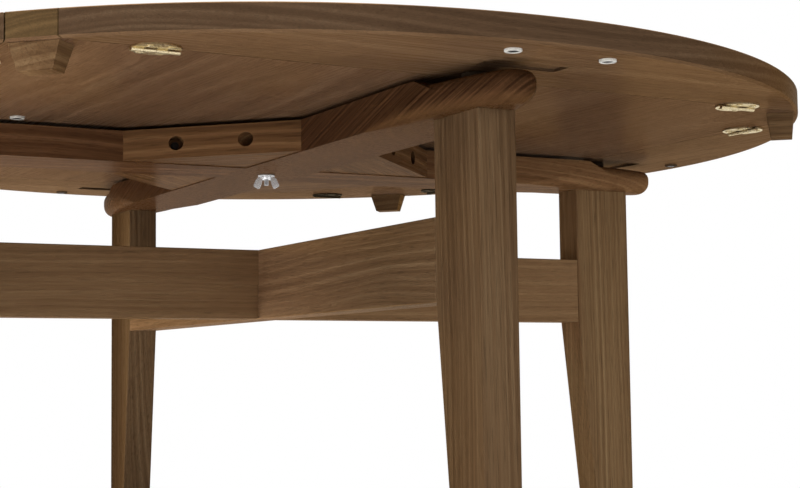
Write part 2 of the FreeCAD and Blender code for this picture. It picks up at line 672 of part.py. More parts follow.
plate_screws = new_body("PlateScrews")
plate_screw = round_piece(plate_screws, "PlateScrew",
                          [("0", "-PlateThick"), ("4.1", "-PlateThick"),
                           ("1.9", "-(PlateThick - 2.2)"), ("1.9", "14"), ("0", "17")],
                          "PlateScrewCircle", "0", UNDER)
repeat(plate_screws, "PlateScrewSet", [plate_screw], [("polar", 4)])
keep(plate_screws, "pivot_plate_screws", "TopTurn")


# --------------------------------------------------------- panel and leaves
def round_board(name):
    """The full round of the top, before it is cut at the seams."""
    body = new_body(name)
    sketch = new_sketch(body, name + "Profile", "XZ_Plane", ("0", UNDER, "0"))
    add_polygon(sketch, [("0", "0"), ("TopRadius - RimChamfer", "0"),
                         ("TopRadius", "RimChamfer"), ("TopRadius", "TopThickness - RimEase"),
                         ("TopRadius - RimEase", "TopThickness"), ("0", "TopThickness")])
    turn(body, name + "Round", "Revolution", sketch)
    return body


panel = round_board("Panel")
frame_cut = new_sketch(panel, "PanelSeams", "XY_Plane", ("0", "0", UNDER + " - Margin"))
reach = "(TopRadius + Margin)"
inner = "(SeamHalf - SeamGap / 2)"
add_box(frame_cut, "-" + reach, "-" + reach, reach, reach)
add_box(frame_cut, "-" + inner, "-" + inner, inner, inner)
extrude(panel, "PanelSquare", "Pocket", frame_cut, "TopThickness + 2 * Margin", False, True)
head = new_sketch(panel, "BoltHeadCircle", "XY_Plane", ("0", "0", UNDER))
add_circle(head, "0", "0", "BoltHeadRadius + BoltPlay")
extrude(panel, "BoltHeadPocket", "Pocket", head, "BoltHeadHeight + BoltPlay", False, True)
keep(panel, "top_panel", "TopTurn")

leaf = round_board("Leaf")
leaf_cut = new_sketch(leaf, "LeafSeam", "XY_Plane", ("0", "0", UNDER + " - Margin"))
add_box(leaf_cut, "-" + reach, "-" + reach, "SeamHalf + SeamGap / 2", reach)
extrude(leaf, "LeafSegment", "Pocket", leaf_cut, "TopThickness + 2 * Margin", False, True)
recess = new_sketch(leaf, "TipRecessOutline", "XY_Plane", ("0", "0", UNDER))
add_box(recess, "TipRecessReach - TipRecessWidth", "-TipRecessLength / 2",
        "TipRecessReach", "TipRecessLength / 2")
extrude(leaf, "TipRecess", "Pocket", recess, "TipRecessDepth", False, True)
LEAVES = ("east", "north", "west", "south")
keep_four(leaf, ["leaf_" + name for name in LEAVES], "TopTurn")

# ----------------------------------------------------------- corner blocks
block = new_body("CornerBlock")
block_side = new_sketch(block, "BlockSide", "XZ_Plane", ("0", UNDER, "0"))
add_polygon(block_side, [("BlockTopInner", "0"), ("BlockBaseInner", "-BlockHeight"),
                         ("BlockReach - BlockLean", "-BlockHeight"), ("BlockReach", "0")])
extrude(block, "BlockPrism", "Pad", block_side, "BlockTopWidth", True)
flank = new_sketch(block, "BlockFlanks", "YZ_Plane", ("0", UNDER, "BlockTopInner - Margin"))
for sign in ("", "-"):
    add_polygon(flank, [(sign + "BlockTopWidth / 2", "0"),
                        (sign + "BlockBaseWidth / 2", "-BlockHeight"),
                        (sign + "BlockBaseWidth / 2", "-(BlockHeight + Margin)"),
                        (sign + "(BlockTopWidth / 2 + Margin)", "-(BlockHeight + Margin)"),
                        (sign + "(BlockTopWidth / 2 + Margin)", "0")])
extrude(block, "BlockTaper", "Pocket", flank, "BlockReach - BlockTopInner + 2 * Margin",
        False, True)
keep_four(block, ["corner_block_%s" % side for side in ("ne", "nw", "sw", "se")],
          "TopTurn + 45")


# ------------------------------------------------------------------ hinges
def hinge_plate(name, outward, knuckles):
    """Half of a round hinge with its knuckles, at +HingeOffset on a seam."""
    body = new_body(name)
    sign = "+" if outward else "-"
    plate_z = UNDER + " - HingePlate"
    disc = new_sketch(body, name + "Disc", "XY_Plane", ("SeamHalf", "HingeOffset", plate_z))
    add_circle(disc, "0", "0", "HingeRadius")
    extrude(body, name + "Plate", "Pad", disc, "HingePlate")
    half = new_sketch(body, name + "Half", "XY_Plane", ("SeamHalf", "HingeOffset", plate_z))
    edge = sign + "(KnuckleRadius + KnuckleGap)"
    far = ("-" if outward else "+") + "(HingeRadius + Margin)"
    add_box(half, edge, "-(HingeRadius + Margin)", far, "HingeRadius + Margin")
    extrude(body, name + "Cut", "Pocket", half, "2 * HingePlate + 2 * Margin", True)
    quarter = "(HingeRadius / 2)"
    tabs = new_sketch(body, name + "Tabs", "XY_Plane", ("SeamHalf", "HingeOffset", plate_z))
    barrel = new_sketch(body, name + "Barrel", "XZ_Plane",
                        ("SeamHalf", HINGE_AXIS, "-(HingeOffset + HingeRadius)"))
    add_circle(barrel, "0", "0", "KnuckleRadius")
    for place in knuckles:
        low = "%d * %s + KnuckleGap / 2" % (place, quarter)
        high = "%d * %s - KnuckleGap / 2" % (place + 1, quarter)
        add_box(tabs, sign + "(KnuckleRadius + KnuckleGap + 0.5)", low, "0", high)
    extrude(body, name + "TabPads", "Pad", tabs, "HingePlate - KnuckleGap")
    extrude(body, name + "BarrelPad", "Pad", barrel, "2 * HingeRadius")
    # Take away the barrel, and notch the plate, where the other half has its knuckles.
    gaps = new_sketch(body, name + "Gaps", "YZ_Plane",
                      ("HingeOffset", HINGE_AXIS, "SeamHalf"))
    for place in (-2, -1, 0, 1):
        if place in knuckles:
            continue
        low = "%d * %s - KnuckleGap / 2" % (place, quarter)
        high = "%d * %s + KnuckleGap / 2" % (place + 1, quarter)
        add_box(gaps, low, "-(KnuckleRadius + Margin)", high, "KnuckleRadius + Margin")
    extrude(body, name + "GapCut", "Pocket", gaps, "2 * KnuckleNotch", True)
    bore = new_sketch(body, name + "Bore", "XZ_Plane",
                      ("SeamHalf", HINGE_AXIS, "-(HingeOffset)"))
    add_circle(bore, "0", "0", "PinRadius + PinPlay")
    extrude(body, name + "BoreCut", "Pocket", bore, "2 * HingeRadius + 2 * Margin", True)
    holes = new_sketch(body, name + "Holes", "XY_Plane", ("SeamHalf", "HingeOffset", plate_z))
    for side_sign in ("", "-"):
        add_circle(holes, sign + "HingeScrewIn", side_sign + "HingeScrewSide",
                   "HingeHoleRadius")
    extrude(body, name + "HoleCut", "Pocket", holes, "2 * HingePlate + 2 * Margin", True)
    return body


def seam_pair(body):
    """A piece and its mirror image, at both ends of a seam."""
    return [body, mirrored(body)]


keep_four(seam_pair(hinge_plate("PanelPlate", False, (-2, 0))),
          ["hinge_plates_panel_" + name for name in LEAVES], "TopTurn")
keep_four(seam_pair(hinge_plate("LeafPlate", True, (-1, 1))),
          ["hinge_plates_leaf_" + name for name in LEAVES], "TopTurn")

pins = new_body("HingePins")
pin_circle = new_sketch(pins, "PinCircle", "XZ_Plane",
                        ("SeamHalf", HINGE_AXIS, "-(HingeOffset + HingeRadius)"))
add_circle(pin_circle, "0", "0", "PinRadius")
pin = extrude(pins, "Pin", "Pad", pin_circle, "2 * HingeRadius")
repeat(pins, "PinSet", [pin], [("mirror", "XZ_Plane"), ("polar", 4)])
keep(pins, "hinge_pins", "TopTurn")


def hinge_screw(body, name, x_sign, y_sign):
    """A low dome-head screw that comes up through a hinge plate."""
    return round_piece(
        body, name,
        [("0", "-(HingePlate + HingeHeadHeight)"),
         ("HingeHeadRadius * 0.6", "-(HingePlate + HingeHeadHeight)"),
         ("HingeHeadRadius", "-(HingePlate + HingeHeadHeight * 0.4)"),
         ("HingeHeadRadius", "-HingePlate"), ("HingeScrewRadius", "-HingePlate"),
         ("HingeScrewRadius", "HingeScrewLength - HingeScrewRadius * 2"),
         ("0", "HingeScrewLength")],
        "SeamHalf %s HingeScrewIn" % x_sign, "HingeOffset %s HingeScrewSide" % y_sign, UNDER)


panel_screws = new_body("PanelHingeScrews")
row_of_two = [hinge_screw(panel_screws, "PanelScrewA", "-", "-"),
              hinge_screw(panel_screws, "PanelScrewB", "-", "+")]
repeat(panel_screws, "PanelScrewSet", row_of_two, [("mirror", "XZ_Plane"), ("polar", 4)])
keep(panel_screws, "hinge_screws_panel", "TopTurn")

leaf_screws = new_body("LeafHingeScrews")
row_of_two = [hinge_screw(leaf_screws, "LeafScrewA", "+", "-"),
              hinge_screw(leaf_screws, "LeafScrewB", "+", "+")]
repeat(leaf_screws, "LeafScrewSet", row_of_two, [("mirror", "XZ_Plane")])
keep_four(leaf_screws, ["hinge_screws_leaf_" + name for name in LEAVES], "TopTurn")


# -------------------------------------------------------------------- pads
def pad(body, name, x, y):
    """A round pad with a recess for its screw."""
    return round_piece(
        body, name,
        [("PadScrewRadius + BoltPlay", "0"), ("PadRadius", "0"),
         ("PadRadius", "-(PadThick - PadEase)"), ("PadRadius - PadEase", "-PadThick"),
         ("PadScrewHead + BoltPlay", "-PadThick"),
         ("PadScrewHead + BoltPlay", "-(PadThick - 1.6)"),
         ("PadScrewRadius + BoltPlay", "-(PadThick - 1.6)")],
        x, y, UNDER)


def pad_screw(body, name, x, y):
    """A pan-head screw in a pad."""
    return round_piece(
        body, name,
        [("0", "-(PadThick - 0.2)"), ("PadScrewHead - 0.5", "-(PadThick - 0.2)"),
         ("PadScrewHead", "-(PadThick - 0.8)"), ("PadScrewHead", "-(PadThick - 1.6)"),
         ("PadScrewRadius", "-(PadThick - 1.6)"), ("PadScrewRadius", "10"), ("0", "13")],
        x, y, UNDER)


leaf_pads = new_body("LeafPads")
one = pad(leaf_pads, "LeafPad", "PadReach", "PadSide")
repeat(leaf_pads, "LeafPadSet", [one], [("mirror", "XZ_Plane")])
keep_four(leaf_pads, ["leaf_pads_" + name for name in LEAVES], "TopTurn")
leaf_pad_screws = new_body("LeafPadScrews")
one = pad_screw(leaf_pad_screws, "LeafPadScrew", "PadReach", "PadSide")
repeat(leaf_pad_screws, "LeafPadScrewSet", [one], [("mirror", "XZ_Plane")])
keep_four(leaf_pad_screws, ["leaf_pad_screws_" + name for name in LEAVES], "TopTurn")

glide_pads = new_body("GlidePads")
one = pad(glide_pads, "GlidePad", "GlidePadReach", "GlidePadSide")
repeat(glide_pads, "GlidePadSet", [one], [("polar", 4)])
keep(glide_pads, "glide_pads", "TopTurn")
glide_screws = new_body("GlidePadScrews")
one = pad_screw(glide_screws, "GlidePadScrew", "GlidePadReach", "GlidePadSide")
repeat(glide_screws, "GlidePadScrewSet", [one], [("polar", 4)])
keep(glide_screws, "glide_pad_screws", "TopTurn")

# ------------------------------------------------------------------ export
doc.recompute()
for item in doc.Objects:
    for state in item.State:
        if state in ("Invalid", "Error"):
            raise ValueError("%s is %s" % (item.Name, state))
os.makedirs("parts", exist_ok=True)
for node in NODES:
    shape = node.Shape
    if shape.isNull() or not shape.isValid():
        raise ValueError("%s has no sound shape" % node.Label)
    shape.exportStep("parts/%s.step" % node.Label)
    box = shape.BoundBox
    print("%-28s solids %2d  volume %12.1f  z %7.2f %7.2f" % (
        node.Label, len(shape.Solids), shape.Volume, box.ZMin, box.ZMax))
print("nodes", len(NODES))
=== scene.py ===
"""Round drop-leaf table in oiled walnut, seen from below the top. Sizes are in metres."""

import math

import bmesh
import bpy
from mathutils import Euler, Matrix, Vector


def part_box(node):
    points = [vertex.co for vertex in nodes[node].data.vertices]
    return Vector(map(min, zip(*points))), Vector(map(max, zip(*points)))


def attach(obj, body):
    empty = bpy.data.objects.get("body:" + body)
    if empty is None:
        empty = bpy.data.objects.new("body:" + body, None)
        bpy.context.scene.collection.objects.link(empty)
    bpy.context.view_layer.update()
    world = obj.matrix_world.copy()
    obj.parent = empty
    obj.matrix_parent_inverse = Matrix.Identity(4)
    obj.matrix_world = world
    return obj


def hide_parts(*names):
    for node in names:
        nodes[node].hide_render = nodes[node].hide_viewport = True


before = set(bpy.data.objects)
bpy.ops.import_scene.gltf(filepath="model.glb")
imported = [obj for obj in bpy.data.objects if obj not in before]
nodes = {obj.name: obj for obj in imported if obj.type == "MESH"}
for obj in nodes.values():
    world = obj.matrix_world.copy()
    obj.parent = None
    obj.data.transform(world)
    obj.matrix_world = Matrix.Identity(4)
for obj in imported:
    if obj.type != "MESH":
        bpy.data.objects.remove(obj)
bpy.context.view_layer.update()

# ------------------------------------------------------------------ camera
# The eye is low, in front of the south leg, and looks a little up under the
# top. The lens is a long one, and the view is shifted sideways like a crop.
EYE = Vector((-0.82657, -1.84789, 0.41411))
HEADING = math.radians(26.95)
PITCH_UP = 0.0838
ROLL = -0.0093
LENS_MM = 71.94
FILM_MM = 36
SIDE_SHIFT = 0.0675
NEAREST = 0.05
FARTHEST = 60
look = Vector((math.sin(HEADING) * math.cos(PITCH_UP),
               math.cos(HEADING) * math.cos(PITCH_UP), math.sin(PITCH_UP)))
level_right = Vector((math.cos(HEADING), -math.sin(HEADING), 0))
level_up = level_right.cross(look)
right = level_right * math.cos(ROLL) + level_up * math.sin(ROLL)
up = level_up * math.cos(ROLL) - level_right * math.sin(ROLL)
camera_data = bpy.data.cameras.new("view")
camera_data.lens = LENS_MM
camera_data.sensor_width = FILM_MM
camera_data.shift_x = SIDE_SHIFT
camera_data.clip_start = NEAREST
camera_data.clip_end = FARTHEST
camera = bpy.data.objects.new("view", camera_data)
camera.matrix_world = Matrix.Translation(EYE) @ Matrix((right, up, -look)).transposed().to_4x4()
bpy.context.scene.collection.objects.link(camera)
bpy.context.scene.camera = camera

# ------------------------------------------------------------- cross beams
# Two long walnut boards lie flat, half-lapped where they cross. They are
# sawn, stepped at the top near each tip, rounded with a spokeshave, and oiled.
DARK_WALNUT = (0.066, 0.0345, 0.0165)
MID_WALNUT = (0.132, 0.073, 0.0355)
PALE_WALNUT = (0.222, 0.137, 0.071)
OIL_TINT = (0.75, 0.50, 0.28, 1)
PALE_OIL_TINT = (0.85, 0.68, 0.52, 1)
RING_WANDER = 0.070
RING_SHARE = 0.62
FIBRE_SHARE = 0.36
CLOUD_SHARE = 0.50
PORE_FROM = 0.57
PORE_TO = 0.70
PORE_SHADE = 0.40
MOST_PORES = 0.85
BEAM_EDGE = 0.0009


def feed(tree, slot, value):
    """Link a socket to the slot, or set the slot to a plain value."""
    if isinstance(value, bpy.types.NodeSocket):
        tree.links.new(value, slot)
    else:
        slot.default_value = value


def maths(tree, operation, *values):
    """A maths node on these sockets and numbers."""
    node = tree.nodes.new("ShaderNodeMath")
    node.operation = operation
    for slot, value in zip(node.inputs, values):
        feed(tree, slot, value)
    return node.outputs[0]


def vector(tree, operation, *values):
    """A vector maths node, fed in the same way."""
    node = tree.nodes.new("ShaderNodeVectorMath")
    node.operation = operation
    slots = (node.inputs[0], node.inputs["Scale"]) if operation == "SCALE" else node.inputs
    for slot, value in zip(slots, values):
        feed(tree, slot, value)
    return node.outputs["Value" if operation in ("LENGTH", "DOT_PRODUCT") else "Vector"]


def axes(tree, place):
    """The X, Y and Z of a vector, picked by name."""
    node = tree.nodes.new("ShaderNodeSeparateXYZ")
    tree.links.new(place, node.inputs[0])
    return node.outputs


def span(tree, value, low, high, to_low, to_high):
    """The value brought from one range to another, and held inside it."""
    node = tree.nodes.new("ShaderNodeMapRange")
    for slot, number in (("From Min", low), ("From Max", high),
                         ("To Min", to_low), ("To Max", to_high)):
        node.inputs[slot].default_value = number
    tree.links.new(value, node.inputs["Value"])
    return node.outputs["Result"]


def blend(tree, share, first, second):
    """The first colour where the share is 0, going over to the second at 1."""
    node = tree.nodes.new("ShaderNodeMix")
    node.data_type = "VECTOR"
    feed(tree, node.inputs["Factor"], share)
    feed(tree, node.inputs[4], first)
    feed(tree, node.inputs[5], second)
    return node.outputs[1]


def graded(tree, value, *stops):
    """Colours over the value, from pairs of a position and a colour."""
    node = tree.nodes.new("ShaderNodeValToRGB")
    elements = node.color_ramp.elements
    elements[0].position = stops[0][0]
    elements[1].position = stops[-1][0]
    for position, _ in stops[1:-1]:
        elements.new(position)
    for element, (_, colour) in zip(elements, stops):
        element.color = (*colour, 1)
    tree.links.new(value, node.inputs["Fac"])
    return node.outputs["Color"]


def noise(tree, place, stretch, scale, detail, roughness=0.5):
    """Noise on the given coordinates, drawn out along the grain."""
    node = tree.nodes.new("ShaderNodeTexNoise")
    node.inputs["Scale"].default_value = scale
    node.inputs["Detail"].default_value = detail
    node.inputs["Roughness"].default_value = roughness
    tree.links.new(vector(tree, "MULTIPLY", place, stretch), node.inputs["Vector"])
    return node.outputs


def new_finish(name):
    """A new material, its node tree, its shader and the piece's coordinates."""
    material = bpy.data.materials.new(name)
    material.use_nodes = True
    tree = material.node_tree
    place = tree.nodes.new("ShaderNodeTexCoord").outputs["Object"]
    return material, tree, tree.nodes["Principled BSDF"], place


STAVE_DARKEST = 0.90
STAVE_PALEST = 1.08
GLUE_LINE = 0.0001
GLUE_EDGE = 0.0006
GLUE_SHADE = 0.70
LOG_SPREAD = (9.0, 0.20, 0.12)
LOG_START = (0, -0.10, -0.06)


def in_staves(tree, board, width, start):
    """The board cut into staves, each from a log of its own. Gives the places in
    those logs, the tone of each stave, and the dark line of the glue."""
    across = maths(tree, "MULTIPLY_ADD", axes(tree, board)["Y"], 1 / width, -start / width)
    number = maths(tree, "FLOOR", across)
    pick = tree.nodes.new("ShaderNodeTexWhiteNoise")
    pick.noise_dimensions = "1D"
    tree.links.new(number, pick.inputs["W"])
    to_middle = tree.nodes.new("ShaderNodeCombineXYZ")
    tree.links.new(maths(tree, "MULTIPLY_ADD", number, -width, -start - width / 2),
                   to_middle.inputs["Y"])
    own_log = vector(tree, "MULTIPLY_ADD", pick.outputs["Color"], LOG_SPREAD, LOG_START)
    centred = vector(tree, "ADD", board, to_middle.outputs[0])
    tone = span(tree, pick.outputs["Value"], 0, 1, STAVE_DARKEST, STAVE_PALEST)
    glue = span(tree, maths(tree, "PINGPONG", across, 0.5), GLUE_LINE / width,
                GLUE_EDGE / width, GLUE_SHADE, 1.0)
    return vector(tree, "ADD", centred, own_log), [tone, glue]


UPRIGHT_TO = 0.3
LEVEL_FROM = 0.8
DARK_RING = 0.36
PALE_RING = 0.66


def with_rim(tree, colour, rings, shade, contrast):
    """The colour, with the upright faces darker and their rings clearer: partly end grain
    soaked with more oil, partly painted shade.
    """
    normal = tree.nodes.new("ShaderNodeNewGeometry").outputs["Normal"]
    facing = maths(tree, "ABSOLUTE", axes(tree, normal)["Z"])
    soaked_and_shaded = vector(tree, "SCALE", vector(tree, "MULTIPLY", colour, shade),
                    span(tree, rings, DARK_RING, PALE_RING, 1 - contrast, 1 + contrast))
    return blend(tree, span(tree, facing, UPRIGHT_TO, LEVEL_FROM, 0, 1), soaked_and_shaded, colour)


OIL_ROUGHEST = 0.34
OIL_SMOOTHEST = 0.22
OIL_SHEEN = 0.2
PORE_DEPTH = 0.0003
PORE_STRENGTH = 0.25


def oiled(tree, shader, fibre, dashes, oil):
    """Satin oil on the wood: its gloss follows the fibres, and its sheen has the
    tint of the oil. The pores stay open under it."""
    tree.links.new(span(tree, fibre, 0.2, 0.8, OIL_ROUGHEST, OIL_SMOOTHEST),
                   shader.inputs["Roughness"])
    shader.inputs["Metallic"].default_value = OIL_SHEEN
    shader.inputs["Specular Tint"].default_value = oil
    shader.inputs["Specular IOR Level"].default_value = 0.0
    bump = tree.nodes.new("ShaderNodeBump")
    bump.inputs["Strength"].default_value = PORE_STRENGTH
    bump.inputs["Distance"].default_value = PORE_DEPTH
    tree.links.new(dashes, bump.inputs["Height"])
    tree.links.new(bump.outputs["Normal"], shader.inputs["Normal"])


def walnut(name, turn, middle, heart, tint=(1, 1, 1), figure=1.0, streak=1.0, ring=120,
           oil=OIL_TINT, stave=None, rim=None, painted_light=None):
    """Solid walnut with satin oil. turn brings the grain onto X about the board's
    middle. heart says how far the board is from the pith, to the side and in
    depth. The tint scales its colours, partly for the board's own tone and partly
    as painted light and shade. figure is how far the rings wander, streak how
    strongly they show, and ring how many there are in a metre. stave is the
    (width, start) of boards glued side by side. rim is the (shade, contrast) of the
    upright edges, which drink more oil than the faces and are darkened as painted
    shade as well. The fade is (axis, start, end, shade), and takes the wood to that
    shade along or across the board as painted light and shade."""
    material, tree, shader, place = new_finish(name)
    to_board = tree.nodes.new("ShaderNodeMapping")
    to_board.inputs["Rotation"].default_value = turn
    to_board.inputs["Location"].default_value = -(Euler(turn).to_matrix() @ Vector(middle))
    tree.links.new(place, to_board.inputs["Vector"])
    board = to_board.outputs["Vector"]
    shades = []
    if stave:
        board, shades = in_staves(tree, board, *stave)

    # The log is never straight: its rings wander slowly along the grain.
    wander = noise(tree, board, (0.9, 2.4, 2.4), scale=1.6, detail=2.0)["Color"]
    sway = RING_WANDER * figure
    swing = vector(tree, "MULTIPLY_ADD", wander, (0.0, sway, sway),
                   (0.0, heart[0] - sway / 2, heart[1] - sway / 2))
    log = vector(tree, "ADD", board, swing)
    growth = tree.nodes.new("ShaderNodeTexNoise")
    growth.noise_dimensions = "1D"
    growth.inputs["Scale"].default_value = ring
    growth.inputs["Detail"].default_value = 3.5
    growth.inputs["Roughness"].default_value = 0.62
    radius = vector(tree, "LENGTH", vector(tree, "MULTIPLY", log, (0, 1, 1)))
    tree.links.new(radius, growth.inputs["W"])
    rings = growth.outputs["Fac"]
    fibre = noise(tree, log, (0.025, 1, 1), scale=330, detail=3.0, roughness=0.6)["Fac"]
    cloud = noise(tree, board, (0.12, 1, 1), scale=14, detail=2.0)["Fac"]
    pores = noise(tree, board, (0.035, 1, 1), scale=850, detail=1.0)["Fac"]

    # Rings, fibres and clouds add up to one depth of colour. A weak streak keeps
    # the same middle tone.
    depth = maths(tree, "MULTIPLY", rings, RING_SHARE * streak)
    depth = maths(tree, "MULTIPLY_ADD", fibre, FIBRE_SHARE * streak, depth)
    depth = maths(tree, "MULTIPLY_ADD", cloud, CLOUD_SHARE * min(streak, 1), depth)
    depth = maths(tree, "ADD", depth, (RING_SHARE + FIBRE_SHARE) / 2 * (1 - streak)
                  + CLOUD_SHARE / 2 * max(1 - streak, 0))
    dark, plain, pale = ([share * part for share, part in zip(colour, tint)]
                         for colour in (DARK_WALNUT, MID_WALNUT, PALE_WALNUT))
    colour = graded(tree, depth, (0.50, dark), (0.74, plain), (1.00, pale))
    dashes = span(tree, pores, PORE_FROM, PORE_TO, 1,
                  1 - PORE_SHADE * min(streak, MOST_PORES))
    for shade in shades + [dashes]:
        colour = vector(tree, "SCALE", colour, shade)
    # Painted light and shade: the colour goes lighter or darker along or across the board.
    if painted_light:
        axis, start, end, painted_tone = painted_light
        colour = blend(tree, span(tree, axes(tree, board)[axis], start, end, 0, 1), colour,
                       vector(tree, "MULTIPLY", colour, painted_tone))
    # Upright faces darker: partly more oil in the end grain, partly painted shade.
    if rim:
        colour = with_rim(tree, colour, rings, *rim)
    tree.links.new(colour, shader.inputs["Base Color"])
    oiled(tree, shader, fibre, dashes, oil)
    return material


SAME_POINT = 0.00001
SAME_PLANE = math.radians(0.3)
SHARP_EDGE = math.radians(32)


def dress(node, material, edge=None):
    """Give a CAD piece its finish. edge eases its sharp edges by that much,
    and with an edge or 0 its flat faces stay flat beside its round ones."""
    piece = nodes[node]
    piece.data.materials.clear()
    piece.data.materials.append(material)
    if edge is None:
        return
    if edge:
        weld = piece.modifiers.new("weld", "WELD")
        weld.merge_threshold = SAME_POINT
        planar = piece.modifiers.new("planar", "DECIMATE")
        planar.decimate_type = "DISSOLVE"
        planar.angle_limit = SAME_PLANE
        ease = piece.modifiers.new("ease", "BEVEL")
        ease.width = edge
        ease.segments = 2
        ease.limit_method = "ANGLE"
        ease.angle_limit = SHARP_EDGE
    flat = piece.modifiers.new("flat", "WEIGHTED_NORMAL")
    flat.mode = "FACE_AREA"
    flat.weight = 100
    flat.keep_sharp = True


def middle_of(node):
    """The middle of a CAD piece."""
    low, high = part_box(node)
    return (Vector(low) + Vector(high)) / 2


# Painted light and shade: the upper beam grows paler towards its east tip, the lower one
# changes tone towards one tip, and its sides are darkened partly as painted shade.
dress("cross_beam_lower",
      walnut("beam_wood_y", turn=(math.radians(20), 0, math.radians(-93)),
             middle=middle_of("cross_beam_lower"), heart=(0.06, 0.34),
             tint=(0.74, 0.60, 0.52), figure=0.14, streak=0.45, ring=330,
             oil=PALE_OIL_TINT, rim=((0.67, 0.64, 0.68), 0.42),
             painted_light=("X", -0.20, -0.45, (0.92, 0.98, 0.96))),
      BEAM_EDGE)
dress("cross_beam_upper",
      walnut("beam_wood_x", turn=(0, math.radians(-3), math.radians(3)),
             middle=middle_of("cross_beam_upper"), heart=(0.05, 0.12),
             tint=(0.78, 0.63, 0.57), figure=0.8, ring=130, oil=PALE_OIL_TINT,
             painted_light=("X", 0.10, 0.42, (1.60, 1.80, 1.80))),
      BEAM_EDGE)

# ------------------------------------------------------------ brace blocks
# Four triangular blocks glued into the corners of the cross. Their grain runs
# along the long face, and two black screws, sunk deep, hold each to the beams.
BRACE_TINT = (1.06, 0.94, 0.82)
BLACK_STEEL = (0.020, 0.018, 0.017)
RUBBING = 0.1
STAIN_SHADE = 0.82


def metal(name, colour, rough, glint=(1, 1, 1, 1), painted_far_shade=None):
    """A metal with fine rubbing marks and slight staining. glint is the tint of
    its shine at a low angle. The last argument is the (colour, roughness, start,
    end) it goes over to, from one place to another towards the north: a darker
    colour painted as shade, and a rougher finish."""
    material, tree, shader, place = new_finish(name)
    stain = noise(tree, place, (1, 1, 1), scale=260, detail=3.0)["Fac"]
    stained = [part * STAIN_SHADE for part in colour]
    shown = graded(tree, stain, (0.3, stained), (0.7, colour))
    rubbed = noise(tree, place, (1, 6, 1), scale=900, detail=2.0)["Fac"]
    roughness = span(tree, rubbed, 0, 1, rough - RUBBING, rough + RUBBING)
    # Towards the north the colour darkens as painted shade, and the finish gets rougher.
    if painted_far_shade:
        painted_dark, dull_rough, start, end = painted_far_shade
        north = axes(tree, place)["Y"]
        shown = blend(tree, span(tree, north, start, end, 0, 1), shown, painted_dark)
        roughness = maths(tree, "MAXIMUM", roughness,
                          span(tree, north, start, end, 0, dull_rough))
    tree.links.new(shown, shader.inputs["Base Color"])
    shader.inputs["Metallic"].default_value = 1.0
    shader.inputs["Specular Tint"].default_value = glint
    tree.links.new(roughness, shader.inputs["Roughness"])
    return material


for name, pair, angle in (("brace_wood_falling", ("sw", "ne"), 45),
                          ("brace_wood_rising", ("nw", "se"), -45)):
    wood = walnut(name, turn=(0, math.radians(1), math.radians(angle)),
                  middle=(0, 0, middle_of("brace_block_sw").z), heart=(0.02, 0.11),
                  tint=BRACE_TINT, figure=0.6, streak=1.2, ring=130, oil=PALE_OIL_TINT)
    for corner in pair:
        dress("brace_block_" + corner, wood, BEAM_EDGE)
dress("brace_screws", metal("black_screw_steel", BLACK_STEEL, 0.45))

# -------------------------------------------------------------------- legs
# Four walnut legs, tenoned up into the beams, with a plastic glide under each
# foot. Each tapers below the stretcher on its inner face, and is planed smooth.
# Each board's colours are scaled on their own, partly for its tone and partly as
# painted light and shade, and two of them have painted light and shade across the board.
LEG_WOOD_WITH_PAINTED_LIGHT = (
    ("east", (1.30, 1.37, 1.32), ("Z", 0.034, 0.042, (0.82, 0.74, 0.74))),
    ("north", (0.35, 0.38, 0.42), ("Y", 0.040, -0.035, (2.7, 2.6, 2.4))),
    ("west", (1.0, 1.0, 1.0), None),
    ("south", (0.90, 0.94, 0.96), None))
LEG_HEART = 0.045
NEXT_LEG_HEART = 0.020
GLIDE_BLACK = (0.05, 0.045, 0.04)
MOTTLE_SHADE = 0.93
MOTTLE_ROUGH = 0.06


def moulded(name, colour, rough, gloss=0.5):
    """Moulded plastic, or felt, with a faint mottle."""
    material, tree, shader, place = new_finish(name)
    mottle = noise(tree, place, (1, 1, 1), scale=420, detail=2.0)["Fac"]
    shaded = [part * MOTTLE_SHADE for part in colour]
    tree.links.new(graded(tree, mottle, (0.35, shaded), (0.65, colour)),
                   shader.inputs["Base Color"])
    tree.links.new(span(tree, mottle, 0, 1, rough - MOTTLE_ROUGH, rough + MOTTLE_ROUGH),
                   shader.inputs["Roughness"])
    shader.inputs["Specular IOR Level"].default_value = gloss
    return material


for number, (side, tint, painted_light) in enumerate(LEG_WOOD_WITH_PAINTED_LIGHT):
    dress("leg_" + side,
          walnut("leg_wood_" + side, turn=(0, math.radians(90.6), 0),
                 middle=middle_of("leg_" + side),
                 heart=(LEG_HEART + NEXT_LEG_HEART * number, 0.05), tint=tint, figure=0.3,
                 streak=0.75, ring=240, painted_light=painted_light), 0)
dress("foot_glides", moulded("glide_plastic", GLIDE_BLACK, 0.5))

# -------------------------------------------------------------- stretchers
# Two boards on edge, lapped where they cross and tenoned into the legs.
# They are planed square, with the arrises just broken.
# Painted light and shade: both boards' colours are scaled, the lower one much paler and darker
# towards one end, the upper one lighter towards its east end.
dress("stretcher_upper",
      walnut("stretcher_wood_x", turn=(0, math.radians(1), math.radians(2)),
             middle=middle_of("stretcher_upper"), heart=(0.03, 0.14),
             tint=(1.08, 1.11, 1.11), figure=0.5, streak=0.5, ring=150,
             painted_light=("X", -0.34, 0.02, (1.42, 1.42, 1.40))),
      BEAM_EDGE)
dress("stretcher_lower",
      walnut("stretcher_wood_y", turn=(0, 0, math.radians(-92)),
             middle=middle_of("stretcher_lower"), heart=(-0.05, 0.10),
             tint=(1.80, 1.84, 1.90), figure=0.8, streak=0.7, ring=150,
             painted_light=("X", -0.05, -0.35, (0.53, 0.54, 0.54))),
      BEAM_EDGE)

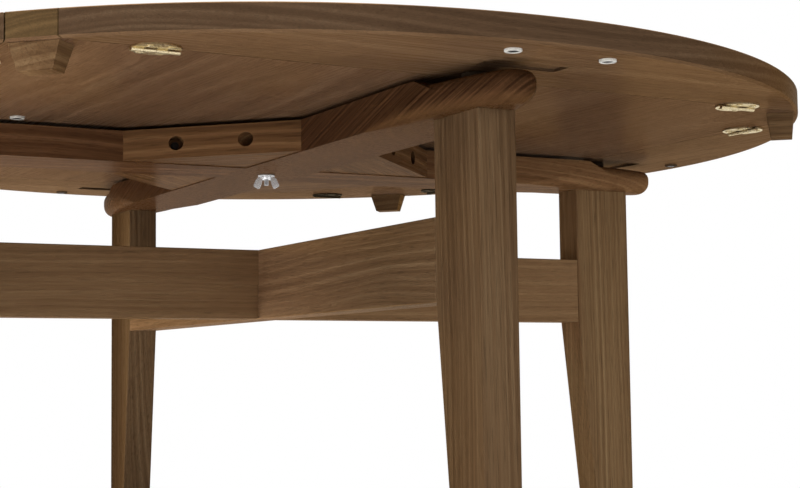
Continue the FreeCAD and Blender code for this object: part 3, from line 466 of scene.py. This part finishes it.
# --------------------------------------------------------------- top panel
# The square middle of the top, glued up from walnut boards that run north
# to south. It is planed flat, and its seam edges are cut square.
TOP_TURN = math.radians(2.4)
STAVE_WIDTH = 0.16
STAVE_START = 0.02
# Its upright edges are darkened, partly by more oil and partly as painted shade.
dress("top_panel",
      walnut("panel_wood", turn=(0, 0, math.radians(-90) - TOP_TURN),
             middle=middle_of("top_panel"), heart=(0.0, 0.15), tint=(1.02, 1.01, 1.10),
             figure=0.9, streak=0.45, ring=90, stave=(STAVE_WIDTH, STAVE_START),
             rim=((0.80, 0.88, 0.72), 0.22)), 0)

# ------------------------------------------------------------------ leaves
# Four segments that make the top round, each with its grain along the seam.
# The rim is turned and has a small chamfer below.
SIDES = ("east", "north", "west", "south")
# Their rims' upright faces are darkened, partly by more oil and partly as painted shade.
for number, side in enumerate(SIDES):
    turn = -(TOP_TURN + math.radians(90 * number) + math.radians(90))
    dress("leaf_" + side,
          walnut("leaf_wood_" + side, turn=(0, 0, turn), middle=middle_of("leaf_" + side),
                 heart=(-0.03, 0.30), tint=(1.10, 1.12, 1.16), figure=0.3, streak=0.45,
                 ring=170, rim=((0.62, 0.64, 0.70), 0.10)), 0)

# ----------------------------------------------------------- corner blocks
# A tapered stop block is glued under each corner of the panel, with its end
# grain showing on the outer face.
CORNER_TINT = Vector((1.02, 1.02, 0.98))
CORNER_EDGE = 0.0003
# Each block's colour is scaled by a shade of its own; the darker ones, most of all the
# south-east block, carry painted shade.
for corner, angle, shade in (("ne", 45, 0.95), ("nw", -45, 0.95), ("sw", 45, 1.0),
                             ("se", -45, 0.72)):
    dress("corner_block_" + corner,
          walnut("corner_wood_" + corner, turn=(0, 0, -(math.radians(angle) + TOP_TURN)),
                 middle=(0, 0, middle_of("corner_block_sw").z), heart=(0.03, 0.25),
                 tint=CORNER_TINT * shade, figure=0.4, ring=170), CORNER_EDGE)

# ------------------------------------------------------------------ hinges
# Round stamped brass hinges, two to a seam, with four rolled knuckles. They are
# polished and lacquered, and held by low brass screws. Towards the north they are
# rougher, and darker as painted shade.
BRASS = (0.70, 0.585, 0.365)
BRASS_GLINT = (0.95, 0.90, 0.76, 1)
FAR_PAINTED_SHADE = ((0.06, 0.043, 0.026), 0.8, 0.15, 0.30)
HINGE_EDGE = 0.00025
hinge_brass = metal("hinge_brass", BRASS, 0.28, BRASS_GLINT, FAR_PAINTED_SHADE)
screw_brass = metal("screw_brass", BRASS, 0.3, BRASS_GLINT, FAR_PAINTED_SHADE)
for side in SIDES:
    dress("hinge_plates_panel_" + side, hinge_brass, HINGE_EDGE)
    dress("hinge_plates_leaf_" + side, hinge_brass, HINGE_EDGE)
dress("hinge_pins", metal("pin_brass", BRASS, 0.25, BRASS_GLINT, FAR_PAINTED_SHADE))

# Each screw comes up through its plate and has a low dome with a cross recess.
# The seam is measured from the middle of the table, and a hinge along the seam.
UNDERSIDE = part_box("top_panel")[0][2]
SEAM = 0.480
HINGE_OFFSET = 0.351
SCREW_FROM_SEAM = 0.014
SCREW_FROM_MIDDLE = 0.010
SCREW_SPIN = 0.7
HINGE_SCREW = {"shank": 0.0019, "length": 0.014, "head": 0.0037, "under": -0.0020,
               "low": -0.0032, "recess": (0.0019, 0.00045, 0.0009)}
AROUND = 24
CREASE = math.radians(35)


def on_top(outward, along, quarter):
    """A place under the top, outward from the middle and along that seam."""
    turn = Matrix.Rotation(TOP_TURN + math.radians(90 * quarter), 3, "Z")
    return turn @ Vector((outward, along, 0)) + Vector((0, 0, UNDERSIDE))


def ring_of(radius, height):
    """A level ring of points."""
    return [Vector((radius * math.cos(math.tau * step / AROUND),
                    radius * math.sin(math.tau * step / AROUND), height))
            for step in range(AROUND)]


def cross_of(reach, half, height):
    """The outline of a cross recess, with as many points as a ring."""
    shoulder = (reach + half) / 2
    quarter = ((reach, 0), (reach, half), (shoulder, half), (half, half),
               (half, shoulder), (half, reach))
    return [Matrix.Rotation(math.radians(90 * turn), 3, "Z") @ Vector((x, y, height))
            for turn in range(4) for x, y in quarter]


def skin(work, loops, place, closed=True):
    """Skin the loops in order, and cap the first and last if closed."""
    rows = [[work.verts.new(point + place) for point in loop] for loop in loops]
    for row, following in zip(rows, rows[1:]):
        for step in range(AROUND):
            beside = (step + 1) % AROUND
            work.faces.new((row[step], row[beside], following[beside], following[step]))
    if closed:
        work.faces.new(rows[0])
        work.faces.new(rows[-1])


def turned_piece(name, work, material, body, node):
    """Finish a piece of skinned loops, and let it ride in place of a CAD node."""
    bmesh.ops.recalc_face_normals(work, faces=work.faces)
    mesh = bpy.data.meshes.new(name)
    work.to_mesh(mesh)
    work.free()
    mesh.shade_smooth()
    mesh.set_sharp_from_angle(angle=CREASE)
    mesh.materials.append(material)
    piece = bpy.data.objects.new(name, mesh)
    bpy.context.scene.collection.objects.link(piece)
    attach(piece, body)
    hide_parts(node)


POINT_WIDTH = 0.12
DOME_DEPTH = 0.45
SHOULDER_WIDTH = 0.86
SHOULDER_DEPTH = 0.35
FLAT_WIDTH = 1.25
RECESS_TAPER = (0.8, 0.7)


def cross_screw(work, place, spin, shank, length, head, under, low, recess):
    """A screw with its head down. shank and head are radii, under and low the
    heights of the head's back and of its lowest point, and recess the arms'
    length, half their width, and their depth."""
    turn = Matrix.Rotation(spin, 3, "Z")
    reach, half, deep = recess
    rise = (under - low) * DOME_DEPTH
    point = [ring_of(shank * POINT_WIDTH, length), ring_of(shank, length - 2 * shank)]
    back = [ring_of(shank, under), ring_of(head, under)]
    dome = [ring_of(head, low + rise),
            ring_of(head * SHOULDER_WIDTH, low + rise * SHOULDER_DEPTH),
            ring_of(reach * FLAT_WIDTH, low)]
    cross = [cross_of(reach, half, low),
             cross_of(reach * RECESS_TAPER[0], half * RECESS_TAPER[1], low + deep)]
    skin(work, [[turn @ corner for corner in loop] for loop in point + back + dome + cross],
         place)


def hinge_screws(name, body, outward, quarters, node):
    """The screws of one side of the hinges, each left at an angle of its own."""
    work = bmesh.new()
    count = 0
    for quarter in quarters:
        for hinge in (-1, 1):
            for side in (-1, 1):
                count += 1
                along = hinge * HINGE_OFFSET + side * SCREW_FROM_MIDDLE
                cross_screw(work, on_top(outward, along, quarter), SCREW_SPIN * count,
                            **HINGE_SCREW)
    turned_piece(name, work, screw_brass, body, node)


hinge_screws("panel_hinge_screws", "top", SEAM - SCREW_FROM_SEAM, range(4),
             "hinge_screws_panel")
for quarter, side in enumerate(SIDES):
    hinge_screws("leaf_hinge_screws_" + side, "leaf_" + side, SEAM + SCREW_FROM_SEAM,
                 (quarter,), "hinge_screws_leaf_" + side)

# -------------------------------------------------------------------- pads
# Plastic buttons under the leaves, white, and grey ones under the panel. Under all
# but the south leaf the buttons are painted brown as shade. Each is hollowed for a
# cross-head screw. Felt discs on the beams' tips carry the leaves, painted dark as shade.
WHITE_PLASTIC = (0.66, 0.64, 0.59)
SHADED_PAD_BROWN = (0.085, 0.057, 0.035)
GREY_NYLON = (0.46, 0.44, 0.40)
FELT_PAINTED_SHADE = (0.045, 0.030, 0.019)
DULL_STEEL = (0.15, 0.15, 0.155)
PAD_BACK = ((0.0020, 0.0), (0.0085, 0.0))
PAD_SIDE_WALL = ((0.0085, -0.0018), (0.0083, -0.0023), (0.0078, -0.0026))
PAD_HOLLOW = ((0.0062, -0.0026), (0.0058, -0.0024), (0.0056, -0.0008), (0.0020, -0.0008))
PAD_SECTION = PAD_BACK + PAD_SIDE_WALL + PAD_HOLLOW + PAD_BACK[:1]
PAD_SCREW = {"shank": 0.0016, "length": 0.013, "head": 0.0052, "under": -0.0008,
             "low": -0.0024, "recess": (0.0030, 0.0006, 0.0012)}
PAD_SCREW_SPIN = 0.9
FIRST_PAD_SPIN = 0.3
PAD_REACH = 0.621
GLIDE_REACH = 0.344
PAD_SIDE = 0.055
button_steel = metal("button_screw_steel", DULL_STEEL, 0.3)


def buttons(name, screws_name, body, places, node, screws_node, plastic):
    """Round buttons at these places, and the screw in each of them."""
    pads = bmesh.new()
    screws = bmesh.new()
    for count, place in enumerate(places):
        skin(pads, [ring_of(*corner) for corner in PAD_SECTION], place, closed=False)
        cross_screw(screws, place, PAD_SCREW_SPIN * count + FIRST_PAD_SPIN, **PAD_SCREW)
    bmesh.ops.remove_doubles(pads, verts=pads.verts, dist=SAME_POINT)
    turned_piece(name, pads, plastic, body, node)
    turned_piece(screws_name, screws, button_steel, body, screws_node)


white_plastic = moulded("pad_plastic", WHITE_PLASTIC, 0.4)
shaded_pad_brown = moulded("shaded_pad_brown", SHADED_PAD_BROWN, 0.6, gloss=0.0)
# Under the south leaf the buttons are white; under the others their brown is painted shade.
for quarter, side in enumerate(SIDES):
    buttons("leaf_buttons_" + side, "leaf_button_screws_" + side, "leaf_" + side,
            [on_top(PAD_REACH, PAD_SIDE * way, quarter) for way in (-1, 1)],
            "leaf_pads_" + side, "leaf_pad_screws_" + side,
            white_plastic if side == "south" else shaded_pad_brown)
buttons("glide_buttons", "glide_button_screws", "top",
        [on_top(GLIDE_REACH, PAD_SIDE, quarter) for quarter in range(4)],
        "glide_pads", "glide_pad_screws", moulded("glide_nylon", GREY_NYLON, 0.5, gloss=0.3))
# The discs' dark colour is painted shade.
dress("support_pads", moulded("support_felt", FELT_PAINTED_SHADE, 0.9, gloss=0.0))

# ------------------------------------------------------------------- pivot
# The top turns on one bolt through the crossing of the beams, held up by a
# steel plate above and by a washer and a zinc-plated wing nut below.
SCREW_STEEL = (0.36, 0.36, 0.37)
PLATE_STEEL = (0.52, 0.52, 0.52)
BOLT_STEEL = (0.62, 0.62, 0.63)
WASHER_STEEL = (0.70, 0.70, 0.70)
NUT_ZINC = (0.82, 0.82, 0.83)
WASHER_EDGE = 0.0003
NUT_EDGE = 0.0008
BOLT_RADIUS = 0.0030
BOLT_HEAD = 0.0080
HEAD_EDGE = 0.0008
END_MIDDLE = 0.45
END_EDGE = 0.0002
END_RISE = 0.0003
SHANK_RISE = 0.0006
THREAD_PITCH = 0.0010
THREAD_DEPTH = 0.0005
STEPS_A_TURN = 8
bolt_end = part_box("pivot_bolt")[0][2]
bolt_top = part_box("pivot_bolt")[1][2]
thread_end = bolt_end + END_RISE
thread_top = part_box("pivot_washer")[1][2]


def thread_ring(row):
    """A level cut through the thread, so many steps up from its end."""
    height = thread_end + row * THREAD_PITCH / STEPS_A_TURN
    loop = []
    for step, point in enumerate(ring_of(1, height)):
        phase = (row / STEPS_A_TURN + step / AROUND) % 1
        radius = BOLT_RADIUS - THREAD_DEPTH * abs(2 * phase - 1)
        loop.append(Vector((radius * point.x, radius * point.y, height)))
    return loop


thread_rows = int((thread_top - thread_end) / THREAD_PITCH * STEPS_A_TURN)
bolt = bmesh.new()
skin(bolt, [ring_of(BOLT_RADIUS * END_MIDDLE, bolt_end),
            ring_of(BOLT_RADIUS - THREAD_DEPTH - END_EDGE, bolt_end),
            *(thread_ring(row) for row in range(thread_rows + 1)),
            ring_of(BOLT_RADIUS, thread_top + SHANK_RISE), ring_of(BOLT_RADIUS, UNDERSIDE),
            ring_of(BOLT_HEAD, UNDERSIDE), ring_of(BOLT_HEAD, bolt_top - HEAD_EDGE),
            ring_of(BOLT_HEAD - HEAD_EDGE, bolt_top)], Vector((0, 0, 0)))
turned_piece("threaded_bolt", bolt, metal("bolt_steel", BOLT_STEEL, 0.3), "top",
             "pivot_bolt")
dress("pivot_plate", metal("plate_steel", PLATE_STEEL, 0.35))
dress("pivot_plate_screws", metal("screw_steel", SCREW_STEEL, 0.3))
dress("pivot_washer", metal("washer_steel", WASHER_STEEL, 0.3), WASHER_EDGE)
dress("wing_nut", metal("nut_zinc", NUT_ZINC, 0.28), NUT_EDGE)

# ------------------------------------------------------------------- stage
# A plain pale floor that runs out into a white surround, soft light from above
# and from low on the left, where the room is brighter too.
FLOOR_RADIUS = 3.0
FLOOR_COLOUR = (0.90, 0.90, 0.90, 1)
FLOOR_ROUGH = 0.8
FLOOR_PLAIN_TO = 1.1
FLOOR_WHITE_FROM = 2.4
WHITE = (1, 1, 1, 1)
SKY_TOWARDS = (-0.7, -0.4, 0.0)
SKY_DIM = 0.46
SKY_BRIGHT = 0.88


def shown_directly(tree):
    """1 for what is seen straight, in a mirror or through glass, else 0."""
    seen = tree.nodes.new("ShaderNodeLightPath").outputs
    either = maths(tree, "MAXIMUM", seen["Is Camera Ray"], seen["Is Glossy Ray"])
    return maths(tree, "MAXIMUM", either, seen["Is Transmission Ray"])


def choose(tree, share, first, second, surface):
    """Show the first shader where the share is 0, and the second where it is 1."""
    mix = tree.nodes.new("ShaderNodeMixShader")
    tree.links.new(share, mix.inputs["Fac"])
    tree.links.new(first.outputs[0], mix.inputs[1])
    tree.links.new(second.outputs[0], mix.inputs[2])
    tree.links.new(mix.outputs[0], surface)


def soft_box(name, place, aim, width, height, power, spread):
    """A large soft lamp."""
    lamp = bpy.data.lights.new(name, "AREA")
    lamp.shape = "RECTANGLE"
    lamp.size = width
    lamp.size_y = height
    lamp.energy = power
    lamp.spread = spread
    holder = bpy.data.objects.new(name, lamp)
    holder.location = place
    holder.rotation_euler = (Vector(aim) - Vector(place)).to_track_quat("-Z", "Y").to_euler()
    bpy.context.scene.collection.objects.link(holder)


floor_mesh = bpy.data.meshes.new("floor")
disc = bmesh.new()
bmesh.ops.create_circle(disc, cap_ends=True, segments=96, radius=FLOOR_RADIUS)
disc.to_mesh(floor_mesh)
disc.free()
floor = bpy.data.objects.new("floor", floor_mesh)
bpy.context.scene.collection.objects.link(floor)
floor_paint, paint, plain_paint, floor_place = new_finish("floor_paint")
plain_paint.inputs["Base Color"].default_value = FLOOR_COLOUR
plain_paint.inputs["Roughness"].default_value = FLOOR_ROUGH
glow = paint.nodes.new("ShaderNodeEmission")
away = span(paint, vector(paint, "LENGTH", floor_place), FLOOR_PLAIN_TO, FLOOR_WHITE_FROM, 0, 1)
choose(paint, maths(paint, "MULTIPLY", shown_directly(paint), away), plain_paint, glow,
       paint.nodes["Material Output"].inputs["Surface"])
floor_mesh.materials.append(floor_paint)

world = bpy.data.worlds.new("studio")
world.use_nodes = True
bpy.context.scene.world = world
sky = world.node_tree
surround = sky.nodes.new("ShaderNodeBackground")
surround.inputs["Color"].default_value = WHITE
room = sky.nodes["Background"]
room.inputs["Color"].default_value = WHITE
direction = vector(sky, "NORMALIZE", sky.nodes.new("ShaderNodeTexCoord").outputs["Generated"])
towards = vector(sky, "DOT_PRODUCT", direction, SKY_TOWARDS)
sky.links.new(span(sky, towards, -1, 1, SKY_DIM, SKY_BRIGHT), room.inputs["Strength"])
choose(sky, shown_directly(sky), room, surround, sky.nodes["World Output"].inputs["Surface"])

soft_box("overhead", place=(-1.5, 0.3, 3.4), aim=(-1.5, 0.3, 0), width=4.2, height=4.2,
         power=105, spread=math.radians(70))
soft_box("low_left", place=(-3.2, -1.0, 0.5), aim=(0, 0, 0.6), width=1.6, height=0.9,
         power=5, spread=math.pi)

bpy.context.scene.view_settings.view_transform = "Standard"
